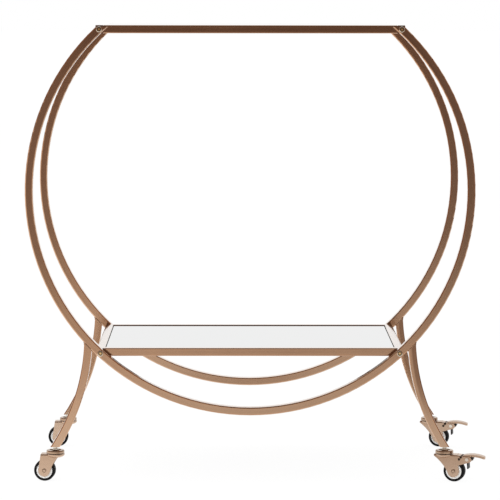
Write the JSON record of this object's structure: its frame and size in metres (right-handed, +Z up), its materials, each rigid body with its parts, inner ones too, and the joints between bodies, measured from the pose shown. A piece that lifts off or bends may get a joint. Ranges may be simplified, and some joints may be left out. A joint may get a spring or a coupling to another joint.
{
  "type": "bar cart on wheels",
  "caption": "Round-frame bar cart: two metal hoops hold mirror trays one above the other, on curved legs with swivel casters, with foot brakes on one side.",
  "frame": {"origin": "on the floor, below the middle of the cart's whole box, brake pedals included", "axes": "+X along the trays to the right, where the braked casters are, +Y from the front hoop to the back, +Z up"},
  "size_m": [0.863, 0.4324, 0.855],
  "materials": {
    "rose_metal": "satin rose gold metallic finish",
    "plated_steel": "bright zinc plating",
    "plain_steel": "plain steel",
    "mirror_glass": "silvered glass",
    "clear_pad": "soft translucent pads",
    "black_tyre": "smooth black rubber",
    "white_hub": "off-white moulded plastic",
    "black_shoe": "black moulded plastic"
  },
  "bodies": {
    "frame": {"front_hoop": "rose_metal", "rear_hoop": "rose_metal", "hoop_end_caps": "rose_metal", "tray_bolts": "plated_steel", "rail_inserts": "plain_steel", "mirror_pads": "clear_pad", "top_tray_front_rail": "rose_metal", "top_tray_rear_rail": "rose_metal", "top_tray_left_rail": "rose_metal", "top_tray_right_rail": "rose_metal", "top_mirror": "mirror_glass", "top_tray_ledges": "rose_metal", "lower_tray_front_rail": "rose_metal", "lower_tray_rear_rail": "rose_metal", "lower_tray_left_rail": "rose_metal", "lower_tray_right_rail": "rose_metal", "lower_mirror": "mirror_glass", "lower_tray_ledges": "rose_metal", "front_right_leg": "rose_metal", "rear_right_leg": "rose_metal", "front_left_leg": "rose_metal", "rear_left_leg": "rose_metal", "leg_foot_plates": "plain_steel", "caster_stems": "plated_steel", "stem_nuts": "plated_steel", "front_left_swivel_cap": "rose_metal", "front_right_swivel_cap": "rose_metal", "rear_left_swivel_cap": "rose_metal", "rear_right_swivel_cap": "rose_metal"},
    "front_left_swivel": {"front_left_fork": "rose_metal", "front_left_axle": "rose_metal", "front_left_balls": "plated_steel"},
    "front_left_wheel": {"front_left_hub": "white_hub", "front_left_tyre": "black_tyre"},
    "front_right_swivel": {"front_right_fork": "rose_metal", "front_right_axle": "rose_metal", "front_right_balls": "plated_steel", "front_right_brake_spring": "plated_steel", "front_right_brake_pins": "plated_steel"},
    "front_right_wheel": {"front_right_hub": "white_hub", "front_right_tyre": "black_tyre"},
    "front_right_pedal": {"front_right_brake_pedal": "rose_metal", "front_right_brake_shoe": "black_shoe"},
    "rear_left_swivel": {"rear_left_fork": "rose_metal", "rear_left_axle": "rose_metal", "rear_left_balls": "plated_steel"},
    "rear_left_wheel": {"rear_left_hub": "white_hub", "rear_left_tyre": "black_tyre"},
    "rear_right_swivel": {"rear_right_fork": "rose_metal", "rear_right_axle": "rose_metal", "rear_right_balls": "plated_steel", "rear_right_brake_spring": "plated_steel", "rear_right_brake_pins": "plated_steel"},
    "rear_right_wheel": {"rear_right_hub": "white_hub", "rear_right_tyre": "black_tyre"},
    "rear_right_pedal": {"rear_right_brake_pedal": "rose_metal", "rear_right_brake_shoe": "black_shoe"}
  },
  "joints": [
    {"name": "front_left_swivel_turn", "type": "hinge", "parent": "frame", "child": "front_left_swivel", "pos_m": [-0.37778, -0.18634, 0.0515], "axis": [0, 0, 1], "continuous": true},
    {"name": "front_left_wheel_roll", "type": "hinge", "parent": "front_left_swivel", "child": "front_left_wheel", "pos_m": [-0.3977, -0.1846, 0.02], "axis": [-0.0872, -0.9962, 0], "continuous": true},
    {"name": "front_right_swivel_turn", "type": "hinge", "parent": "frame", "child": "front_right_swivel", "pos_m": [0.35478, -0.18634, 0.0515], "axis": [0, 0, 1], "continuous": true},
    {"name": "front_right_wheel_roll", "type": "hinge", "parent": "front_right_swivel", "child": "front_right_wheel", "pos_m": [0.3738, -0.19253, 0.02], "axis": [0.309, 0.9511, 0], "continuous": true},
    {"name": "front_right_pedal_press", "type": "hinge", "parent": "front_right_swivel", "child": "front_right_pedal", "pos_m": [0.39853, -0.20056, 0.044], "axis": [0.309, 0.9511, 0], "range_deg": [0, 22]},
    {"name": "rear_left_swivel_turn", "type": "hinge", "parent": "frame", "child": "rear_left_swivel", "pos_m": [-0.37778, 0.19866, 0.0515], "axis": [0, 0, 1], "continuous": true},
    {"name": "rear_left_wheel_roll", "type": "hinge", "parent": "rear_left_swivel", "child": "rear_left_wheel", "pos_m": [-0.39778, 0.19866, 0.02], "axis": [0, -1, 0], "continuous": true},
    {"name": "rear_right_swivel_turn", "type": "hinge", "parent": "frame", "child": "rear_right_swivel", "pos_m": [0.35478, 0.19866, 0.0515], "axis": [0, 0, 1], "continuous": true},
    {"name": "rear_right_wheel_roll", "type": "hinge", "parent": "rear_right_swivel", "child": "rear_right_wheel", "pos_m": [0.3741, 0.19348, 0.02], "axis": [0.2588, 0.9659, 0], "continuous": true},
    {"name": "rear_right_pedal_press", "type": "hinge", "parent": "rear_right_swivel", "child": "rear_right_pedal", "pos_m": [0.39921, 0.18675, 0.044], "axis": [0.2588, 0.9659, 0], "range_deg": [0, 22]}
  ]
}
